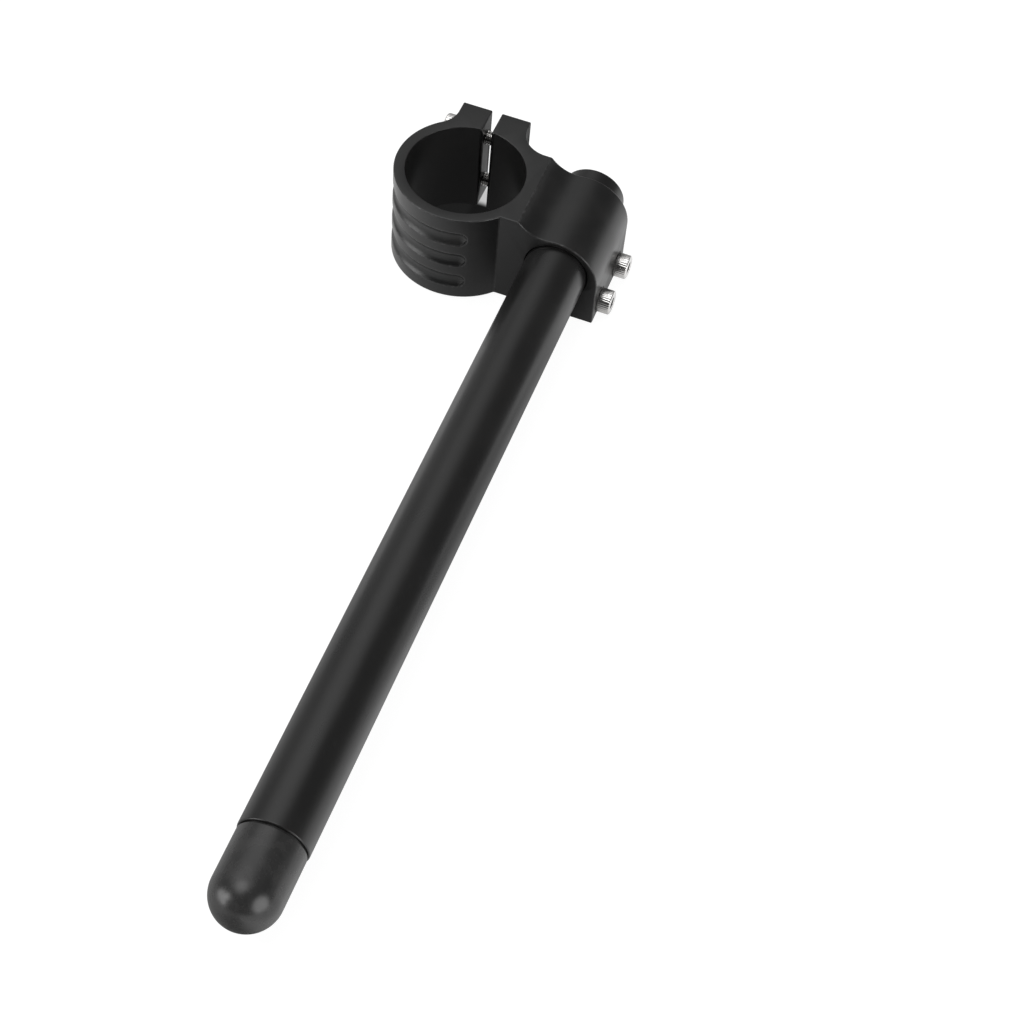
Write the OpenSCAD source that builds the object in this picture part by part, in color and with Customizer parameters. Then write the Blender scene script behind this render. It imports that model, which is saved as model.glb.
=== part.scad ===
// Clip-on handlebar: a split clamp that grips a fork tube, with a round bar held beside it.
// The origin is the middle of the fork bore, at half the clamp's height.
// +Z runs up the fork tube, +X out along the bar, and +Y from the fork tube to the bar.

/* [Fork clamp] */
// Diameter of the fork tube that the ring grips
fork_d = 41; // [38:0.5:50]
// Wall of the ring around the fork tube
ring_wall = 4; // [3.5:0.1:5.5]
// Height of the clamp along the fork tube
clamp_h = 37; // [36.5:0.5:44]
// Width of the slit between the two ears
slit_w = 3.5; // [2.5:0.1:5]
// Width over both ears, from outside to outside
ear_w = 25; // [24:0.25:30]
// Metal left from the middle of a fork bolt to the end of the ears
ear_margin = 4.6; // [4.4:0.1:7]
// Radius of the hollow between the plain ear and the ring
ear_fillet_r = 10; // [7:0.5:12]
// Radius of the hollow between the threaded ear and the bar block
block_fillet_r = 10; // [8:0.5:10.5]
// Width of the bevel at both ends of the fork bore
bore_bevel = 0.3; // [0.2:0.1:1]

/* [Grooves round the ring] */
// Number of grooves
groove_count = 3; // [1:1:3]
// Distance from one groove to the next
groove_pitch = 10; // [8:0.25:10.5]
// Width of a groove, from lip to lip
groove_w = 6; // [4:0.25:7]
// Depth of a groove in the middle
groove_depth = 1.3; // [0.6:0.1:1.5]
// How far the middle groove lies below half height
groove_drop = 0.5; // [0:0.1:1]
// Direction of the grooves' end beside the plain ear, in degrees
groove_from = -131; // [-134:1:-60]
// Direction of the grooves' end beside the bar block, in degrees
groove_to = 23.5; // [-20:0.5:26]

/* [Bar block] */
// Length of the block along the bar
block_l = 33.8; // [32:0.1:44]
// How far the middle of the block lies behind the middle of the fork bore
block_back = 0.7; // [0:0.1:1.5]
// Metal between the fork bore and the bar bore
web_wall = 8; // [7.5:0.25:14]
// Height of the bar's axis above the middle of the clamp
bar_rise = 1.25; // [0:0.25:2]
// Width of the flat top beside the fork bore, up to the hollow above the bar
top_land = 4.5; // [4.1:0.1:6.5]
// Radius of the hollow between the flat top and the barrel
valley_r = 12; // [9:0.5:16]
// Outer radius of the barrel round the bar
barrel_r = 15.5; // [15:0.1:16.5]
// Wall of the barrel above the bar
barrel_wall = 2.1; // [1.8:0.1:3]
// Wall from the bar bore to the outer face of the jaw
jaw_wall = 3.9; // [3.5:0.1:5]
// Width of the slot that frees the jaw
jaw_slot_w = 3; // [2:0.1:4]
// Width of the bevel at both ends of the bar bore
bar_bevel = 0.5; // [0.3:0.1:0.8]

/* [Bar] */
// Outer diameter of the bar
bar_d = 22; // [20:0.1:23]
// Wall of the bar
bar_wall = 2.5; // [1.5:0.1:4]
// Length of the bar without its end plug
bar_l = 272; // [200:1:320]
// How far the bar's inner end stands out behind the block
bar_overhang = 6.6; // [0:0.1:15]
// Width of the bevel on the bar's outer edges
bar_edge = 0.5; // [0.2:0.1:0.8]
// Width of the groove that marks how far the bar goes into the block
mark_w = 0.8; // [0.6:0.1:1.5]
// Depth of that groove
mark_depth = 0.3; // [0.2:0.05:0.5]
// Distance from the block to that groove
mark_gap = 0.3; // [0.2:0.1:1]

/* [End plug] */
// Diameter of the end plug
plug_d = 21.4; // [19:0.1:21.8]
// Length of the end plug outside the bar, with its dome
plug_l = 27.5; // [20:0.5:40]
// Length of the stub that fills the end of the bar
plug_stub_l = 18; // [12:1:30]
// Number of ribs on the stub
plug_rib_count = 4; // [2:1:5]
// Height of the ribs on the stub
plug_rib_h = 0.6; // [0.3:0.1:1]

/* [Cap screws] */
// Thread diameter of the four cap screws
screw_d = 5; // [4:0.1:5.5]
// Diameter of a screw head
head_d = 8.5; // [8:0.1:9]
// Height of a screw head
head_h = 5; // [4:0.1:6]
// Width of the hexagon socket across its flats
socket_w = 4; // [3:0.1:4.5]
// Depth of the hexagon socket
socket_h = 2.5; // [1.5:0.1:3]
// Height between the two fork screws
fork_screw_pitch = 20; // [16:0.5:22]
// Distance along the bar between the two jaw screws
jaw_screw_pitch = 18; // [14:0.5:20]
// Metal between the fork bore and a fork screw's hole
fork_screw_wall = 3; // [2.5:0.1:5]
// Metal between the bar bore and a jaw screw's hole
jaw_screw_wall = 0.8; // [0.6:0.1:1.5]
// Thread of a jaw screw that bites past the slot
jaw_bite = 13.4; // [8:0.2:13.8]
// Depth of the round seat cut for a screw head
seat_depth = 0.3; // [0.2:0.1:0.6]

/* [Fits] */
// Room between the bar and its bore, on the radius
bar_room = 0.04; // [0.02:0.01:0.08]
// Room between the plug's ribs and the bar, on the radius
plug_room = 0.05; // [0.03:0.01:0.1]
// Room round a screw in a plain hole, on the radius
hole_room = 0.25; // [0.15:0.05:0.5]
// Room round a screw in a threaded hole, on the radius
thread_room = 0.04; // [0.02:0.01:0.08]
// Room round a screw head in its seat, on the radius
seat_room = 0.5; // [0.3:0.1:0.8]

/* [Hidden] */
$fn = 96;

// Lets a cut run clear of the face that it opens
over = 1;

clamp_black = [0.16, 0.16, 0.17];
bar_black = [0.14, 0.14, 0.15];
plug_grey = [0.24, 0.24, 0.24];
zinc = [0.80, 0.80, 0.78];

// Fork clamp
fork_r = fork_d / 2;
ring_r = fork_r + ring_wall;
half_h = clamp_h / 2;
ear_half = ear_w / 2;

// Bar and the round parts that share its axis
bar_r = bar_d / 2;
bar_y = fork_r + web_wall + bar_r;
block_from = -block_back - block_l / 2;
bar_from = block_from - bar_overhang;
bar_to = bar_from + bar_l;
plug_r = plug_d / 2;
tube_in_r = bar_r - bar_wall;
mark_r = bar_r - mark_depth;
mark_from = bar_overhang + block_l + mark_gap;

// Outline of the bar block, seen along the bar
jaw_y = bar_y + bar_r + jaw_wall;
barrel_y = jaw_y - barrel_r;
barrel_z = bar_rise + bar_r + barrel_wall - barrel_r;
land_y = fork_r + top_land;

// The hollow touches the barrel and passes through the end of the flat top
land_dy = land_y - barrel_y;
land_dz = half_h - barrel_z;
land_far = sqrt(land_dy * land_dy + land_dz * land_dz);
valley_far = barrel_r + valley_r;
valley_turn = acos((valley_far * valley_far + land_far * land_far - valley_r * valley_r)
    / (2 * valley_far * land_far));
valley_dir = atan2(land_dz, land_dy) - valley_turn;
valley_y = barrel_y + valley_far * cos(valley_dir);
valley_z = barrel_z + valley_far * sin(valley_dir);
touch_y = barrel_y + barrel_r * cos(valley_dir);
touch_z = barrel_z + barrel_r * sin(valley_dir);

// Screws
screw_r = screw_d / 2;
head_r = head_d / 2;
hole_r = screw_r + hole_room;
thread_r = screw_r + thread_room;
seat_r = head_r + seat_room;
fork_screw_x = -(fork_r + fork_screw_wall + hole_r);
fork_seat_y = -ear_half + seat_depth;
fork_screw_l = ear_half - fork_seat_y;
jaw_screw_z = bar_rise - bar_r - jaw_screw_wall - hole_r;
jaw_seat_y = jaw_y - seat_depth;
slot_far_y = bar_y - jaw_slot_w / 2;
jaw_screw_l = jaw_seat_y - slot_far_y + jaw_bite;
// Threaded depth beyond the tip of a jaw screw
tap_spare = 2;
screw_tip = 0.6;
head_bevel = 0.45;
ear_end_x = fork_screw_x - ear_margin;

// Hollow between the plain ear and the ring
ear_hollow_y = -ear_half - ear_fillet_r;
ear_hollow_far = ring_r + ear_fillet_r;
ear_hollow_x = -sqrt(ear_hollow_far * ear_hollow_far - ear_hollow_y * ear_hollow_y);
ear_touch = [ear_hollow_x, ear_hollow_y] * ring_r / ear_hollow_far;
// A hollow is cut a hair wider than tangent, so that its face crosses the faces it joins
hollow_ease = 0.02;

// A groove is the mark of a ball that rolls round the ring
groove_r = (groove_w * groove_w / 4 + groove_depth * groove_depth) / (2 * groove_depth);
groove_far = ring_r + groove_r - groove_depth;
groove_end_turn = asin(groove_w / 2 / ring_r);
groove_start = groove_from + groove_end_turn;
groove_sweep = groove_to - groove_from - 2 * groove_end_turn;
// The ball of a round end is a little smaller, so that its face crosses the groove's
groove_end_r = groove_r - 0.02;

// Ring with its two ears, seen along the fork tube
module ring_outline() {
    circle(r = ring_r);
    translate([ear_end_x, -ear_half])
        square([-ear_end_x, ear_w]);
    difference() {
        polygon([[0, 0], [ear_hollow_x, -ear_half], ear_touch]);
        translate([ear_hollow_x, ear_hollow_y])
            circle(r = ear_fillet_r + hollow_ease);
    }
}

// Corner that fills the hollow between the threaded ear and the bar block
module block_fillet_outline() {
    difference() {
        translate([block_from - block_fillet_r, 0])
            square([block_fillet_r + over, ear_half + block_fillet_r]);
        translate([block_from - block_fillet_r, ear_half + block_fillet_r])
            circle(r = block_fillet_r + hollow_ease);
    }
}

// The block with its barrel and jaw, seen along the bar
module block_outline() {
    difference() {
        union() {
            polygon([
                [0, -half_h],
                [0, half_h],
                [land_y, half_h],
                [touch_y, touch_z],
                [barrel_y, barrel_z],
                [jaw_y, barrel_z],
                [jaw_y, -half_h]
            ]);
            translate([barrel_y, barrel_z])
                circle(r = barrel_r);
        }
        translate([valley_y, valley_z])
            circle(r = valley_r);
    }
}

// Puts a drawing made in Y and Z at x, with its thickness along the bar
module along_bar(x, length) {
    translate([x, 0, 0])
        rotate([90, 0, 90])
            linear_extrude(length)
                children();
}

// A round bore along Z with a bevel at each end
module bevelled_bore(r, length, bevel) {
    cylinder(r = r, h = length + 2 * over, center = true);
    for (side = [-1, 1])
        translate([0, 0, side * (length - bevel + over) / 2])
            cylinder(
                r1 = side > 0 ? r : r + bevel + over,
                r2 = side > 0 ? r + bevel + over : r,
                h = bevel + over,
                center = true
            );
}

// One groove round the ring, with round ends
module groove(z) {
    translate([0, 0, z])
        rotate([0, 0, groove_start]) {
            rotate_extrude(angle = groove_sweep)
                translate([groove_far, 0])
                    circle(r = groove_r);
            for (turn = [0, groove_sweep])
                rotate([0, 0, turn])
                    translate([groove_far, 0, 0])
                        sphere(r = groove_end_r);
        }
}

module grooves() {
    for (i = [0 : groove_count - 1])
        groove((i - (groove_count - 1) / 2) * groove_pitch - groove_drop);
}

// Seat, plain hole and thread for one fork screw
module fork_screw_cut(z) {
    translate([fork_screw_x, 0, z])
        rotate([-90, 0, 0]) {
            translate([0, 0, fork_seat_y - head_h - over])
                cylinder(r = seat_r, h = head_h + over);
            translate([0, 0, fork_seat_y - over])
                cylinder(r = hole_r, h = over - fork_seat_y);
            cylinder(r = thread_r, h = ear_half + block_fillet_r);
        }
}

// Seat, plain hole and blind thread for one jaw screw
module jaw_screw_cut(x) {
    translate([x, jaw_seat_y, jaw_screw_z])
        rotate([90, 0, 0]) {
            translate([0, 0, -head_h])
                cylinder(r = seat_r, h = head_h);
            cylinder(r = hole_r, h = jaw_seat_y - bar_y);
            cylinder(r = thread_r, h = jaw_screw_l + tap_spare);
        }
}

// The clamp is milled from one block, bored for the fork tube and the bar, then split twice
module clamp_body() {
    color(clamp_black)
        difference() {
            union() {
                translate([0, 0, -half_h])
                    linear_extrude(clamp_h) {
                        ring_outline();
                        block_fillet_outline();
                    }
                along_bar(block_from, block_l)
                    block_outline();
            }
            bevelled_bore(fork_r, clamp_h, bore_bevel);
            translate([ear_end_x - over, -slit_w / 2, -half_h - over])
                cube([over - ear_end_x, slit_w, clamp_h + 2 * over]);
            translate([-block_back, bar_y, bar_rise])
                rotate([0, 90, 0])
                    bevelled_bore(bar_r + bar_room, block_l, bar_bevel);
            translate([block_from - over, slot_far_y, -half_h - over])
                cube([block_l + 2 * over, jaw_slot_w, half_h + over + bar_rise]);
            grooves();
            for (side = [-1, 1]) {
                fork_screw_cut(side * fork_screw_pitch / 2);
                jaw_screw_cut(side * jaw_screw_pitch / 2);
            }
        }
}

// Straight bar, open at its inner end
module bar_tube() {
    color(bar_black)
        translate([bar_from, bar_y, bar_rise])
            rotate([0, 90, 0])
                rotate_extrude()
                    polygon([
                        [tube_in_r, 0],
                        [bar_r - bar_edge, 0],
                        [bar_r, bar_edge],
                        [bar_r, mark_from],
                        [mark_r, mark_from],
                        [mark_r, mark_from + mark_w],
                        [bar_r, mark_from + mark_w],
                        [bar_r, bar_l - bar_edge],
                        [bar_r - bar_edge, bar_l],
                        [tube_in_r, bar_l]
                    ]);
}

// Half outline of the plug's dome and shoulder, from the end of the bar outward
module plug_outline() {
    dome_from = plug_l - plug_r;
    polygon([
        [0, 0],
        [plug_r - bar_edge, 0],
        [plug_r, bar_edge],
        [plug_r, dome_from],
        [0, dome_from]
    ]);
    translate([0, dome_from])
        intersection() {
            circle(r = plug_r);
            square(plug_r);
        }
}

// Round-ended plug, pushed into the bar by a ribbed stub
module bar_end_plug() {
    rib_r = tube_in_r - plug_room;
    core_r = rib_r - plug_rib_h;
    rib_pitch = plug_stub_l / plug_rib_count;
    color(plug_grey)
        translate([bar_to, bar_y, bar_rise])
            rotate([0, 90, 0]) {
                rotate_extrude()
                    plug_outline();
                translate([0, 0, -plug_stub_l])
                    cylinder(r = core_r, h = plug_stub_l + bar_edge);
                for (i = [1 : plug_rib_count])
                    translate([0, 0, -i * rib_pitch + rib_pitch / 4])
                        cylinder(r = rib_r, h = rib_pitch / 2);
            }
}

// Socket cap screw with its head's underside at zero and its thread along +Z
module cap_screw(length) {
    color(zinc)
        difference() {
            rotate_extrude()
                polygon([
                    [0, -head_h],
                    [head_r - head_bevel, -head_h],
                    [head_r, -head_h + head_bevel],
                    [head_r, 0],
                    [screw_r, 0],
                    [screw_r, length - screw_tip],
                    [screw_r - screw_tip, length],
                    [0, length]
                ]);
            translate([0, 0, -head_h - over])
                cylinder(d = socket_w / cos(30), h = socket_h + over, $fn = 6);
        }
}

module fork_screw(z) {
    translate([fork_screw_x, fork_seat_y, z])
        rotate([-90, 0, 0])
            cap_screw(fork_screw_l);
}

module jaw_screw(x) {
    translate([x, jaw_seat_y, jaw_screw_z])
        rotate([90, 0, 0])
            cap_screw(jaw_screw_l);
}

clamp_body();
bar_tube();
bar_end_plug();
fork_screw(fork_screw_pitch / 2);  // fork_screw_upper
fork_screw(-fork_screw_pitch / 2);  // fork_screw_lower
jaw_screw(-jaw_screw_pitch / 2);  // jaw_screw_inner
jaw_screw(jaw_screw_pitch / 2);  // jaw_screw_outer
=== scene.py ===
# Looks of the clip-on handlebar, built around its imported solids.
# Lengths here are in millimetres until they go into a mesh, which is in metres.
import math

import bmesh
import bpy
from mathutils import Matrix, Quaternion, Vector


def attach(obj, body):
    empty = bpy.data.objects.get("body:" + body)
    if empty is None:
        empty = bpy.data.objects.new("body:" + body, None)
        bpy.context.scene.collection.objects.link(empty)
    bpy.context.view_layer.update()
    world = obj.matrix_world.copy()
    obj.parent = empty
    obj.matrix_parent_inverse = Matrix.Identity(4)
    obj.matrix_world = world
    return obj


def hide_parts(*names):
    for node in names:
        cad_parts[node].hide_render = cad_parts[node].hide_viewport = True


MM = 0.001
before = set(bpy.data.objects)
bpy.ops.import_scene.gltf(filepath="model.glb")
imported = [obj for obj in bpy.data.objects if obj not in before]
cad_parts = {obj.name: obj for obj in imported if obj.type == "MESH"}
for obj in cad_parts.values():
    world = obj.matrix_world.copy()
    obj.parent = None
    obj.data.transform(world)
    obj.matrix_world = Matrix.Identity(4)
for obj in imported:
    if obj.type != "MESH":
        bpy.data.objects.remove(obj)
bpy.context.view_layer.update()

# The same main sizes as the solids have
BAR_Y, BAR_Z, BAR_R = 39.5, 1.25, 11.0
BAR_FROM, BAR_TO = -24.2, 247.8
BLOCK_START, BLOCK_END = -17.6, 16.2
CLAMP_TOP = 18.5
PLUG_R, PLUG_L, STUB_L = 10.7, 27.5, 18.0
TUBE_IN_R = 8.5
FORK_SCREW_X, FORK_SEAT_Y, FORK_SCREW_L = -26.25, -12.2, 24.7
JAW_SCREW_Z, JAW_SEAT_Y, JAW_SCREW_L = -13.3, 54.1, 29.5
SCREW_R, HEAD_R, HEAD_H = 2.5, 4.25, 5.0
FORK_SCREW_UP, JAW_SCREW_OUT = 10.0, 9.0
THREAD_HOLE_R, CLEARANCE_HOLE_R, HEAD_SEAT_R = 2.54, 2.75, 4.75
FORK_R, FORK_BEVEL = 20.5, 0.3
BAR_HOLE_R, BAR_HOLE_BEVEL = 11.04, 0.5
MARK_FROM, MARK_WIDTH, MARK_DEPTH = BLOCK_END + 0.3, 0.8, 0.3

# Small detail that only the scene has
CLAMP_EDGE_BREAK = 0.42
BAR_EDGE_ROUND, BAR_INNER_BEVEL = 0.5, 0.4
PLUG_EDGE_ROUND = 0.35
JOINT_GAP, JOINT_DEPTH = 0.6, 0.8
RIBS, RIB_R, CORE_R, RIB_SLOPE = 4, TUBE_IN_R - 0.05, TUBE_IN_R - 0.65, 0.3
THREAD_PITCH, THREAD_DEPTH, THREAD_END = 0.8, 0.42, 0.6
# How the flank leaves the crest: with this slope the crest and the root stay flat
FLANK_SLOPE, CREST_FLAT = 1.25, 0.1
KNURL_TEETH, KNURL_DEPTH = 36, 0.10
SOCKET_ACROSS, SOCKET_DEPTH, SOCKET_MOUTH_R, DRILL_POINT = 4.0, 2.5, 2.55, 0.7
SOCKET_BEVEL, KNURL_MARGIN = 0.25, 0.55
# The head's rounded rim and foot: how far in from its side, and how far from its top or its underside
HEAD_RIM = ((0.62, 0.0), (0.40, 0.06), (0.16, 0.26))
HEAD_FOOT = ((0.12, 0.35), (0.18, 0.0))

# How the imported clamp's mesh is read: what counts as one point, as flat, as an edge and as a known rim
MERGE_BELOW = 0.03
FLAT_BELOW_DEGREES, EDGE_ABOVE_DEGREES = 0.3, 28
RIM_TOLERANCE = 0.05

# How fine the new meshes are
ROUND_SEGMENTS = 128
BAR_STEPS, PLUG_SIDE_STEPS, DOME_STEPS = 12, 6, 28
TUBE_WALL_RINGS_X = (100.0, 0.0)
THREAD_ROWS_A_PITCH = 8


def add_object(name, mesh):
    piece = bpy.data.objects.new(name, mesh)
    bpy.context.scene.collection.objects.link(piece)
    return piece


def mesh_from(name, make):
    """A new object whose mesh is filled by make(bm), drawn in millimetres."""
    bm = bmesh.new()
    make(bm)
    bmesh.ops.recalc_face_normals(bm, faces=bm.faces)
    bmesh.ops.scale(bm, vec=(MM, MM, MM), verts=bm.verts)
    mesh = bpy.data.meshes.new(name)
    bm.to_mesh(mesh)
    bm.free()
    return add_object(name, mesh)


def shade(piece, sharp_degrees):
    mesh = piece.data
    mesh.shade_smooth()
    mesh.set_sharp_from_angle(angle=math.radians(sharp_degrees))
    weight = piece.modifiers.new("even_shading", "WEIGHTED_NORMAL")
    weight.weight = 80
    weight.keep_sharp = True


def bridge(bm, low, high):
    """Faces between two rings of the same number of points."""
    for i in range(len(low)):
        j = (i + 1) % len(low)
        bm.faces.new((low[i], low[j], high[j], high[i]))


def fan(bm, ring, point):
    """Faces that close a ring with one point."""
    for i in range(len(ring)):
        bm.faces.new((ring[i], ring[(i + 1) % len(ring)], point))


def turned(bm, profile, place):
    """Turns a profile of (radius, distance) round an axis and returns its rings.

    place(radius, turn, distance) gives a point. A radius of 0 gives one point in place of a ring.
    """
    made = []
    for radius, along in profile:
        count = ROUND_SEGMENTS if radius > 1e-6 else 1
        made.append([bm.verts.new(place(radius, 2 * math.pi * i / count, along)) for i in range(count)])
    for low, high in zip(made, made[1:]):
        if len(low) == 1:
            fan(bm, high, low[0])
        elif len(high) == 1:
            fan(bm, low, high[0])
        else:
            bridge(bm, low, high)
    return made


def round_corner(start, end, corner, steps=4):
    """Points of a quarter round from start to end, which bulges towards corner."""
    points = []
    for k in range(steps + 1):
        t = 0.5 * math.pi * k / steps
        a, b = 1 - math.sin(t), 1 - math.cos(t)
        points.append(tuple(c + (s - c) * a + (e - c) * b for s, e, c in zip(start, end, corner)))
    return points


def along_bar(radius, turn, distance):
    return (distance, BAR_Y + radius * math.cos(turn), BAR_Z + radius * math.sin(turn))


def lies_on_rim(reach, radii):
    """True where every distance in reach is close to the same one of radii."""
    return any(all(abs(r - radius) < RIM_TOLERANCE for r in reach) for radius in radii)


def is_screw_hole_edge(edge):
    """True on the rims of the screws' holes and seats, which stay crisp."""
    return any(
        lies_on_rim(
            [math.hypot(v.co.x / MM - x, v.co.z / MM - z) for v in edge.verts],
            (THREAD_HOLE_R, CLEARANCE_HOLE_R, HEAD_SEAT_R),
        )
        for x, z in (
            (FORK_SCREW_X, FORK_SCREW_UP), (FORK_SCREW_X, -FORK_SCREW_UP),
            (JAW_SCREW_OUT, JAW_SCREW_Z), (-JAW_SCREW_OUT, JAW_SCREW_Z),
        )
    )


def is_bore_bevel_edge(edge):
    """True on the two circles of each bevel that the fork bore and the bar's hole already have."""
    points = [v.co / MM for v in edge.verts]
    fork = [
        math.hypot(p.x, p.y) for p in points
        if abs(abs(p.z) - CLAMP_TOP) < FORK_BEVEL + RIM_TOLERANCE
    ]
    bar_hole = [
        math.hypot(p.y - BAR_Y, p.z - BAR_Z) for p in points
        if min(abs(p.x - BLOCK_START), abs(p.x - BLOCK_END)) < BAR_HOLE_BEVEL + RIM_TOLERANCE
    ]
    return (
        len(fork) == 2 and lies_on_rim(fork, (FORK_R, FORK_R + FORK_BEVEL))
        or len(bar_hole) == 2 and lies_on_rim(bar_hole, (BAR_HOLE_R, BAR_HOLE_R + BAR_HOLE_BEVEL))
    )


def make_clamp():
    """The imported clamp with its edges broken, as a milled block has them."""
    bm = bmesh.new()
    bm.from_mesh(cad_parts["clamp_body"].data)
    bmesh.ops.remove_doubles(bm, verts=bm.verts, dist=MERGE_BELOW * MM)
    bmesh.ops.dissolve_limit(
        bm, angle_limit=math.radians(FLAT_BELOW_DEGREES), verts=bm.verts, edges=bm.edges,
        delimit={"NORMAL"},
    )
    sharp = [
        e for e in bm.edges
        if len(e.link_faces) == 2
        and e.calc_face_angle(0) > math.radians(EDGE_ABOVE_DEGREES)
        and not is_screw_hole_edge(e)
        and not is_bore_bevel_edge(e)
    ]
    # The clamp's material shows wear and a painted glint where this layer is 1
    band = bm.faces.layers.float.new("broken_edge")
    done = bmesh.ops.bevel(
        bm, geom=sharp, offset=CLAMP_EDGE_BREAK * MM, offset_type="OFFSET", segments=2, profile=0.5,
        affect="EDGES", clamp_overlap=False, loop_slide=False,
    )
    for face in done["faces"]:
        face[band] = 1.0
    bmesh.ops.triangulate(bm, faces=[f for f in bm.faces if len(f.verts) > 4])
    mesh = bpy.data.meshes.new("clamp_milled")
    bm.to_mesh(mesh)
    bm.free()
    return add_object("clamp_milled", mesh)


def make_bar(bm):
    """A drawn tube with rounded rims, open at its inner end, with the mark groove beside the clamp."""
    mark_to = MARK_FROM + MARK_WIDTH
    straight_to = BAR_TO - BAR_EDGE_ROUND
    profile = round_corner(
        (BAR_R - BAR_EDGE_ROUND, BAR_FROM), (BAR_R, BAR_FROM + BAR_EDGE_ROUND), (BAR_R, BAR_FROM)
    )
    profile += [
        (BAR_R, MARK_FROM), (BAR_R - MARK_DEPTH, MARK_FROM),
        (BAR_R - MARK_DEPTH, mark_to), (BAR_R, mark_to),
    ]
    profile += [(BAR_R, mark_to + (straight_to - mark_to) * k / BAR_STEPS) for k in range(1, BAR_STEPS)]
    profile += round_corner((BAR_R, straight_to), (BAR_R - BAR_EDGE_ROUND, BAR_TO), (BAR_R, BAR_TO))
    profile += [(TUBE_IN_R, x) for x in (BAR_TO, *TUBE_WALL_RINGS_X, BAR_FROM + BAR_INNER_BEVEL)]
    profile.append((TUBE_IN_R + BAR_INNER_BEVEL, BAR_FROM))
    made = turned(bm, profile, along_bar)
    bridge(bm, made[-1], made[0])


def make_plug(bm):
    """A moulded dome on a ribbed stub, with a narrow recess where it meets the bar."""
    pitch = STUB_L / RIBS
    stub_from = BAR_TO - STUB_L
    profile = [(0.0, stub_from), (CORE_R, stub_from)]
    for i in range(RIBS):
        rib_from = stub_from + i * pitch + pitch / 4
        rib_to = rib_from + pitch / 2
        profile += [
            (CORE_R, rib_from), (RIB_R, rib_from + RIB_SLOPE),
            (RIB_R, rib_to - RIB_SLOPE), (CORE_R, rib_to),
        ]
    skirt = BAR_TO + JOINT_GAP
    side_from, side_to = skirt + PLUG_EDGE_ROUND, BAR_TO + PLUG_L - PLUG_R
    profile += [(CORE_R, BAR_TO), (PLUG_R - JOINT_DEPTH, BAR_TO), (PLUG_R - JOINT_DEPTH, skirt)]
    profile += round_corner((PLUG_R - PLUG_EDGE_ROUND, skirt), (PLUG_R, side_from), (PLUG_R, skirt))
    profile += [
        (PLUG_R, side_from + (side_to - side_from) * k / PLUG_SIDE_STEPS)
        for k in range(1, PLUG_SIDE_STEPS)
    ]
    for k in range(DOME_STEPS + 1):
        t = 0.5 * math.pi * k / DOME_STEPS
        profile.append((PLUG_R * math.cos(t), side_to + PLUG_R * math.sin(t)))
    turned(bm, profile, along_bar)


def cap_screw(bm, length, place):
    """A cap screw with a knurled head, a hexagon socket and a cut thread.

    The head's underside is at distance 0 and the thread runs along +distance.
    place(radius, turn, distance) gives a point.
    """
    sides = KNURL_TEETH * 4

    def ring(radius_at, along):
        turns = [2 * math.pi * i / sides for i in range(sides)]
        return [bm.verts.new(place(radius_at(a), a, along)) for a in turns]

    def hexagon(turn):
        step = math.pi / 3
        return SOCKET_ACROSS / 2 / math.cos((turn % step) - step / 2)

    def round_at(radius):
        return lambda turn: radius

    def knurl(turn):
        on_tooth = round(turn / (2 * math.pi) * sides) % 4 in (1, 2)
        return HEAD_R if on_tooth else HEAD_R - KNURL_DEPTH

    # From the socket's floor over the head's rim and down its side to the shank
    socket_floor = SOCKET_DEPTH - HEAD_H
    head = [
        ring(hexagon, socket_floor),
        ring(hexagon, SOCKET_BEVEL - HEAD_H),
        ring(round_at(SOCKET_MOUTH_R), -HEAD_H),
    ]
    head += [ring(round_at(HEAD_R - inward), down - HEAD_H) for inward, down in HEAD_RIM]
    head += [ring(knurl, KNURL_MARGIN - HEAD_H), ring(knurl, -KNURL_MARGIN)]
    head += [ring(round_at(HEAD_R - inward), -up) for inward, up in HEAD_FOOT]
    head.append(ring(round_at(SCREW_R), 0.0))
    for low, high in zip(head, head[1:]):
        bridge(bm, low, high)
    fan(bm, head[0], bm.verts.new(place(0.0, 0.0, socket_floor + DRILL_POINT)))

    # The thread is a fine net of rings whose radius follows the winding
    step = THREAD_PITCH / THREAD_ROWS_A_PITCH
    last = head[-1]
    for k in range(1, int((length - THREAD_END) / step) + 1):
        z = k * step
        run_in = min(1.0, z / THREAD_PITCH)

        def winding(turn, z=z, run_in=run_in):
            ramp = abs((z / THREAD_PITCH - turn / (2 * math.pi)) % 1.0 - 0.5) * 2
            return SCREW_R - THREAD_DEPTH * run_in * max(0.0, min(1.0, ramp * FLANK_SLOPE - CREST_FLAT))

        now = ring(winding, z)
        bridge(bm, last, now)
        last = now
    end = ring(round_at(SCREW_R - THREAD_END), length)
    bridge(bm, last, end)
    fan(bm, end, bm.verts.new(place(0.0, 0.0, length)))


def fork_screw_place(z):
    def place(radius, turn, distance):
        return (
            FORK_SCREW_X + radius * math.cos(turn),
            FORK_SEAT_Y + distance,
            z - radius * math.sin(turn),
        )
    return place


def jaw_screw_place(x):
    def place(radius, turn, distance):
        return (
            x + radius * math.cos(turn),
            JAW_SEAT_Y - distance,
            JAW_SCREW_Z + radius * math.sin(turn),
        )
    return place


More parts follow.
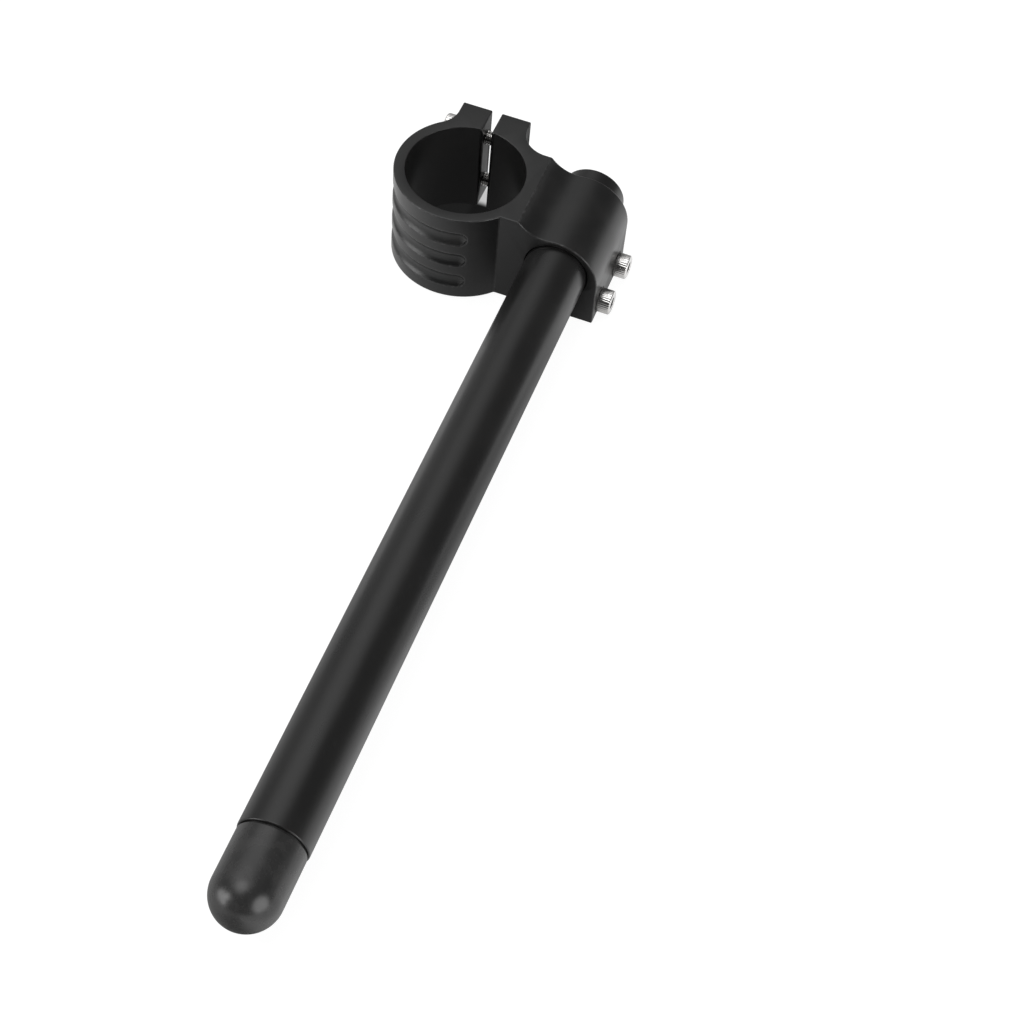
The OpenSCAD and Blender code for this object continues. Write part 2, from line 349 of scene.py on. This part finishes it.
class Wires:
    """Short names for making and joining the nodes of one material or world."""

    def __init__(self, owner):
        owner.use_nodes = True
        self.tree = owner.node_tree
        self.tree.nodes.clear()

    def node(self, kind, settings=None, **inputs):
        made = self.tree.nodes.new(kind)
        for key, value in (settings or {}).items():
            setattr(made, key, value)
        for key, value in inputs.items():
            self.feed(made.inputs[key.replace("_", " ")], value)
        return made

    def feed(self, socket, value):
        if isinstance(value, bpy.types.NodeSocket):
            self.tree.links.new(value, socket)
        else:
            socket.default_value = value

    def math(self, operation, a, b=0.0, clamp=False):
        made = self.node("ShaderNodeMath", {"operation": operation, "use_clamp": clamp})
        self.feed(made.inputs[0], a)
        self.feed(made.inputs[1], b)
        return made.outputs[0]

    def plus(self, a, b):
        return self.math("ADD", a, b)

    def minus(self, a, b):
        return self.math("SUBTRACT", a, b)

    def times(self, a, b):
        return self.math("MULTIPLY", a, b)

    def distance(self, a, b):
        """The length of the arrow whose two sides are a and b."""
        return self.math("SQRT", self.plus(self.times(a, a), self.times(b, b)))

    def spread(self, value, low, high, out_low, out_high, smooth=True):
        """Maps low to high onto out_low to out_high, and holds the ends outside."""
        made = self.node("ShaderNodeMapRange", {"interpolation_type": "SMOOTHSTEP" if smooth else "LINEAR"})
        for socket, number in zip(made.inputs, (value, low, high, out_low, out_high)):
            self.feed(socket, number)
        return made.outputs[0]

    def blend(self, share, first, second):
        made = self.node("ShaderNodeMix", {"data_type": "RGBA"})
        self.feed(made.inputs[0], share)
        self.feed(made.inputs[6], first)
        self.feed(made.inputs[7], second)
        return made.outputs[2]

    def place(self, stretch=(1, 1, 1)):
        """Position in the piece in millimetres, stretched."""
        made = self.node("ShaderNodeVectorMath", {"operation": "MULTIPLY"})
        self.feed(made.inputs[0], self.node("ShaderNodeTexCoord").outputs["Object"])
        self.feed(made.inputs[1], tuple(s / MM for s in stretch))
        return made.outputs[0]

    def noise(self, vector, per_mm, detail=2.0, roughness=0.5):
        return self.node(
            "ShaderNodeTexNoise", Vector=vector, Scale=per_mm, Detail=detail, Roughness=roughness
        ).outputs[0]

    def mottle(self, cloud, low, high):
        """A number that drifts between low and high with the cloud."""
        return self.spread(cloud, 0.3, 0.7, low, high)

    def tint(self, cloud, first, second):
        """A colour that drifts between first and second with the cloud."""
        return self.blend(self.mottle(cloud, 0.0, 1.0), first, second)

    def bump(self, height, depth_mm, strength, under=None):
        made = self.node("ShaderNodeBump", Height=height, Strength=strength, Distance=depth_mm * MM)
        if under is not None:
            self.feed(made.inputs["Normal"], under)
        return made.outputs[0]

    def surface(self, color, rough, relief, metallic=0.0):
        shader = self.node(
            "ShaderNodeBsdfPrincipled", Base_Color=color, Roughness=rough, Normal=relief, Metallic=metallic
        )
        self.node("ShaderNodeOutputMaterial", Surface=shader.outputs[0])


def grey(value, warmth=0.0):
    return (value * (1 + warmth), value, value * (1 - warmth), 1.0)


def black_clamp():
    """Black anodised aluminium with fine cutter lines, and a little wear and a painted glint on the broken
    edges.
    """
    material = bpy.data.materials.new("clamp_black_anodised")
    w = Wires(material)
    cloud = w.noise(w.place(), 0.09, 3.0)
    grain = w.noise(w.place(), 5.0)
    cutter = w.noise(w.place((0.25, 0.25, 4.0)), 1.2, 3.0, 0.6)
    edge = w.node("ShaderNodeAttribute", {"attribute_name": "broken_edge"}).outputs["Fac"]
    # Patches of the broken edges turn lighter grey: partly wear, partly a painted glint
    chips_and_glints = w.spread(w.noise(w.place(), 0.55, 4.0, 0.65), 0.45, 0.75, 0.15, 0.75)
    wear_and_glint = w.times(edge, chips_and_glints)
    black = w.tint(cloud, grey(0.0080, -0.02), grey(0.0115, 0.02))
    color = w.blend(w.times(wear_and_glint, 0.6), black, grey(0.12))
    rough = w.plus(w.mottle(cloud, 0.27, 0.35), w.times(grain, 0.07))
    rough = w.minus(rough, w.times(wear_and_glint, 0.08))
    w.surface(color, rough, w.bump(grain, 0.012, 0.35, w.bump(cutter, 0.02, 0.25)))
    return material


def black_bar():
    """Black anodised tube with faint lines round it, as a drawn and turned bar has them."""
    material = bpy.data.materials.new("bar_black_anodised")
    w = Wires(material)
    cloud = w.noise(w.place((0.4, 1, 1)), 0.08, 3.0)
    grain = w.noise(w.place(), 6.0)
    lines = w.noise(w.place((6.0, 0.12, 0.12)), 1.0, 2.0, 0.6)
    scuff = w.spread(w.noise(w.place((0.5, 1, 1)), 0.35, 5.0, 0.7), 0.56, 0.72, 0.0, 1.0)
    black = w.tint(cloud, grey(0.0080), grey(0.0105, 0.02))
    color = w.blend(w.times(scuff, 0.18), black, grey(0.03))
    rough = w.plus(w.mottle(cloud, 0.24, 0.31), w.times(grain, 0.06))
    w.surface(color, rough, w.bump(grain, 0.008, 0.3, w.bump(lines, 0.010, 0.25)))
    return material


def grey_plug():
    """Dark grey rubber with a little dust."""
    material = bpy.data.materials.new("plug_grey_rubber")
    w = Wires(material)
    cloud = w.noise(w.place(), 0.16, 4.0, 0.6)
    grain = w.noise(w.place(), 3.2, 3.0, 0.65)
    dust = w.spread(w.noise(w.place(), 1.1, 5.0, 0.75), 0.6, 0.78, 0.0, 0.5)
    rubber = w.tint(cloud, grey(0.021), grey(0.036, 0.015))
    color = w.blend(dust, rubber, grey(0.055, 0.03))
    rough = w.plus(w.mottle(cloud, 0.21, 0.28), w.times(grain, 0.05))
    w.surface(color, rough, w.bump(grain, 0.02, 0.2))
    return material


def bright_zinc():
    material = bpy.data.materials.new("screw_bright_zinc")
    w = Wires(material)
    cloud = w.noise(w.place(), 0.5, 3.0)
    grain = w.noise(w.place(), 7.0, 3.0)
    color = w.tint(cloud, grey(0.62, 0.01), grey(0.72, 0.02))
    rough = w.plus(w.mottle(cloud, 0.06, 0.12), w.times(grain, 0.05))
    w.surface(color, rough, w.bump(grain, 0.01, 0.25), metallic=1.0)
    return material


def dress(piece, material, sharp_degrees, node):
    """Shades a piece, gives it its material, hides the node that it stands in for and hangs it on the root
    body.
    """
    shade(piece, sharp_degrees)
    piece.data.materials.clear()
    piece.data.materials.append(material)
    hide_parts(node)
    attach(piece, "root")


def make_pieces():
    dress(make_clamp(), black_clamp(), 50, "clamp_body")
    dress(mesh_from("bar_drawn", make_bar), black_bar(), 35, "bar_tube")
    dress(mesh_from("plug_moulded", make_plug), grey_plug(), 35, "bar_end_plug")
    zinc = bright_zinc()
    for node, length, place in (
        ("fork_screw_upper", FORK_SCREW_L, fork_screw_place(FORK_SCREW_UP)),
        ("fork_screw_lower", FORK_SCREW_L, fork_screw_place(-FORK_SCREW_UP)),
        ("jaw_screw_inner", JAW_SCREW_L, jaw_screw_place(-JAW_SCREW_OUT)),
        ("jaw_screw_outer", JAW_SCREW_L, jaw_screw_place(JAW_SCREW_OUT)),
    ):
        screw = mesh_from(node + "_cut", lambda bm: cap_screw(bm, length, place))
        dress(screw, zinc, 30, node)


FLOOR_REACH, FLOOR_BELOW = 4000.0, 0.02
# Radii on the floor between which the painted shadow on the ground in the fork bore fades from dark to
# bright
BORE_SHADOW_WITHIN, BORE_SHADOW_FADED_BY = 20.9, 24.0
# What the camera sees: the ground in the bore, darkened as a painted shadow, and the bright floor
PAINTED_BORE_SHADOW, FLOOR_LIGHT = 0.012, 0.9
# What the object mirrors of the ground in the bore, darkened as a painted shadow
MIRRORED_BORE_SHADOW = 0.15
# The floor's own paint: in the bore, near black as a painted shade, beyond it, and where it only throws
# light back
BORE_SHADE_PAINT, PAINT_BEYOND, PAINT_FOR_LIGHT = 0.01, 0.24, 0.8
# The shade below the slit: how deep it is, then where it fades across the slit and at its two ends
SLIT_SHADE = 0.4
SLIT_ACROSS, SLIT_OUTER_END, SLIT_INNER_END = (2.0, 5.0), (-34.0, -28.0), (-10.0, -5.0)
# How far from the bar's axis, to both sides, the painted shadow of the bar in the mirrored floor starts to
# lift
UNDER_BAR, RIGHT_REACH = 5.0, 22.0
# What changes along the bar in that painted shadow and light, as x from, x to, value from, value to
LEFT_REACH = (60.0, 170.0, 95.0, 45.0)
RIGHT_LIGHT_BY_PLUG = (110.0, 185.0, 0.55, 1.0)
RIGHT_LIGHT_BY_CLAMP = (-10.0, 40.0, 1.1, 0.55)
# The painted pool of light on the mirrored floor beside the ring: its middle, and how it fades with the
# distance from there
RING_SHEEN_X, RING_SHEEN_Y = 15.0, -40.0
RING_SHEEN = (50.0, 140.0, 1.05, 0.45)
# The power that lets the painted shadow on the ring's side of the bar lift fast at first
LEFT_CURVE = 0.75


def floor_place(w):
    """The floor's own x and y in millimetres."""
    split = w.node("ShaderNodeSeparateXYZ", Vector=w.node("ShaderNodeNewGeometry").outputs["Position"])
    return w.times(split.outputs[0], 1 / MM), w.times(split.outputs[1], 1 / MM)


def painted_floor_reflection(w, x, y):
    """How bright the floor is where the object mirrors it.

    It is a painted shadow, dark under the bar, and a painted pool of light, brightest beside the ring. It
    brightens slowly on the ring's side of the bar, over LEFT_REACH, and fast on the other side, over
    RIGHT_REACH.
    """
    aside = w.minus(y, BAR_Y)
    left_reach = w.spread(x, *LEFT_REACH)
    left = w.math("DIVIDE", w.minus(w.times(aside, -1.0), UNDER_BAR), left_reach, clamp=True)
    right = w.math("DIVIDE", w.minus(aside, UNDER_BAR), RIGHT_REACH, clamp=True)
    from_ring = w.distance(w.minus(x, RING_SHEEN_X), w.minus(y, RING_SHEEN_Y))
    left_light = w.times(w.math("POWER", left, LEFT_CURVE), w.spread(from_ring, *RING_SHEEN))
    by_plug = w.spread(x, *RIGHT_LIGHT_BY_PLUG)
    by_clamp = w.spread(x, *RIGHT_LIGHT_BY_CLAMP)
    return w.plus(left_light, w.times(right, w.math("MAXIMUM", by_plug, by_clamp)))


def slit_shade(w, x, y):
    """The share of light that the ground below the slit between the ears lacks."""
    across = w.spread(w.math("ABSOLUTE", y), *SLIT_ACROSS, SLIT_SHADE, 0.0)
    along = w.times(w.spread(x, *SLIT_OUTER_END, 0.0, 1.0), w.spread(x, *SLIT_INNER_END, 1.0, 0.0))
    return w.times(across, along)


def pale_floor_painted_shade():
    """White for the camera and for mirrors, with painted shade in the bore, below the slit and under the
    bar, pale grey for what it lights, and it keeps the real shadow.
    """
    material = bpy.data.materials.new("pale_floor_painted_shade")
    w = Wires(material)
    x, y = floor_place(w)
    # A shadow is painted on the ground inside the fork bore, dark there and grey below the slit, where a
    # real shadow would fall
    outside_bore_shadow = w.spread(w.distance(x, y), BORE_SHADOW_WITHIN, BORE_SHADOW_FADED_BY, 0.0, 1.0)
    seen_light = w.times(
        w.spread(outside_bore_shadow, 0.0, 1.0, PAINTED_BORE_SHADOW, FLOOR_LIGHT, smooth=False),
        w.minus(1.0, slit_shade(w, x, y)),
    )
    # Mirrors see painted light and shade: the painted shadow of the bar, the painted light beside the ring
    # and the painted shadow in the bore
    mirror_light = w.plus(
        w.times(outside_bore_shadow, painted_floor_reflection(w, x, y)),
        w.spread(outside_bore_shadow, 0.0, 1.0, MIRRORED_BORE_SHADOW, 0.0, smooth=False),
    )
    path = w.node("ShaderNodeLightPath").outputs
    camera_share = path["Is Camera Ray"]
    light = w.plus(w.times(seen_light, camera_share), w.times(mirror_light, w.minus(1.0, camera_share)))
    # The paint is near black inside the bore, as a painted shade
    paint = w.blend(outside_bore_shadow, grey(BORE_SHADE_PAINT), grey(PAINT_BEYOND))
    shadowed = w.node("ShaderNodeBsdfDiffuse", Color=paint)
    glow = w.node("ShaderNodeEmission", Color=grey(1.0), Strength=light)
    # This sum carries the painted shade of the bore, with the glow that makes the rest of the floor white
    white = w.node("ShaderNodeAddShader")
    w.feed(white.inputs[0], shadowed.outputs[0])
    w.feed(white.inputs[1], glow.outputs[0])
    plain = w.node("ShaderNodeBsdfDiffuse", Color=grey(PAINT_FOR_LIGHT))
    seen = w.plus(camera_share, path["Is Glossy Ray"])
    seen = w.math("ADD", seen, path["Is Transmission Ray"], clamp=True)
    mix = w.node("ShaderNodeMixShader")
    w.feed(mix.inputs[0], seen)
    w.feed(mix.inputs[1], plain.outputs[0])
    w.feed(mix.inputs[2], white.outputs[0])
    w.node("ShaderNodeOutputMaterial", Surface=mix.outputs[0])
    return material


def make_floor():
    floor = mesh_from("floor", lambda bm: bm.faces.new([
        bm.verts.new((x * FLOOR_REACH, y * FLOOR_REACH, -CLAMP_TOP - FLOOR_BELOW))
        for x, y in ((-1, -1), (1, -1), (1, 1), (-1, 1))
    ]))
    floor.data.materials.append(pale_floor_painted_shade())


def direction(azimuth, elevation):
    a, e = math.radians(azimuth), math.radians(elevation)
    return Vector((math.cos(a) * math.cos(e), math.sin(a) * math.cos(e), math.sin(e)))


# Soft boxes of the studio: azimuth, elevation, inner and outer half angle, brightness
BOXES = (
    (-122, 69, 1, 42, 1.15),
    (-152, 12, 24, 38, 0.20),
    (-109, 13, 16, 36, 0.22),
    (116, 8, 1, 12, 0.33),
    (180, 20, 60, 110, 0.11),
    (-48, 76, 11, 21, 1.7),
    (-55, 8, 12, 23, 4.2),
    (66, 17, 16, 29, 3.4),
    (-46, 29, 3, 11, 5.0),
)
STUDIO_DIM = 0.05


def make_world():
    """A dim studio with soft boxes lights the object, and the camera sees a white backdrop."""
    world = bpy.data.worlds.new("studio")
    bpy.context.scene.world = world
    w = Wires(world)
    where = w.node("ShaderNodeTexCoord").outputs["Generated"]
    total = STUDIO_DIM
    for azimuth, elevation, inner, outer, brightness in BOXES:
        facing = w.node("ShaderNodeVectorMath", {"operation": "DOT_PRODUCT"})
        w.feed(facing.inputs[0], where)
        w.feed(facing.inputs[1], direction(azimuth, elevation))
        rim, core = math.cos(math.radians(outer)), math.cos(math.radians(inner))
        total = w.plus(w.spread(facing.outputs["Value"], rim, core, 0.0, brightness), total)
    studio = w.node("ShaderNodeBackground", Color=grey(1.0), Strength=total)
    backdrop = w.node("ShaderNodeBackground", Color=grey(1.0), Strength=1.0)
    mix = w.node("ShaderNodeMixShader")
    w.feed(mix.inputs[0], w.node("ShaderNodeLightPath").outputs["Is Camera Ray"])
    w.feed(mix.inputs[1], studio.outputs[0])
    w.feed(mix.inputs[2], backdrop.outputs[0])
    w.node("ShaderNodeOutputWorld", Surface=mix.outputs[0])


# The camera, fitted to the outlines in the photo
LENS, SENSOR = 73.757, 36.0
EYE = Vector((488.76, 162.71, 520.25))
LOOK = Vector((-0.57547, -0.157282, -0.802556))
ROLL_DEGREES = 6.22


def make_camera():
    data = bpy.data.cameras.new("camera")
    data.sensor_width = SENSOR
    data.lens = LENS
    data.clip_start = 0.01
    data.clip_end = 50.0
    camera = add_object("camera", data)
    camera.location = EYE * MM
    camera.rotation_mode = "QUATERNION"
    camera.rotation_quaternion = (
        LOOK.to_track_quat("-Z", "Y") @ Quaternion((0, 0, 1), math.radians(ROLL_DEGREES))
    )
    bpy.context.scene.camera = camera


make_pieces()
make_floor()
make_world()
make_camera()
bpy.context.scene.view_settings.view_transform = "Standard"
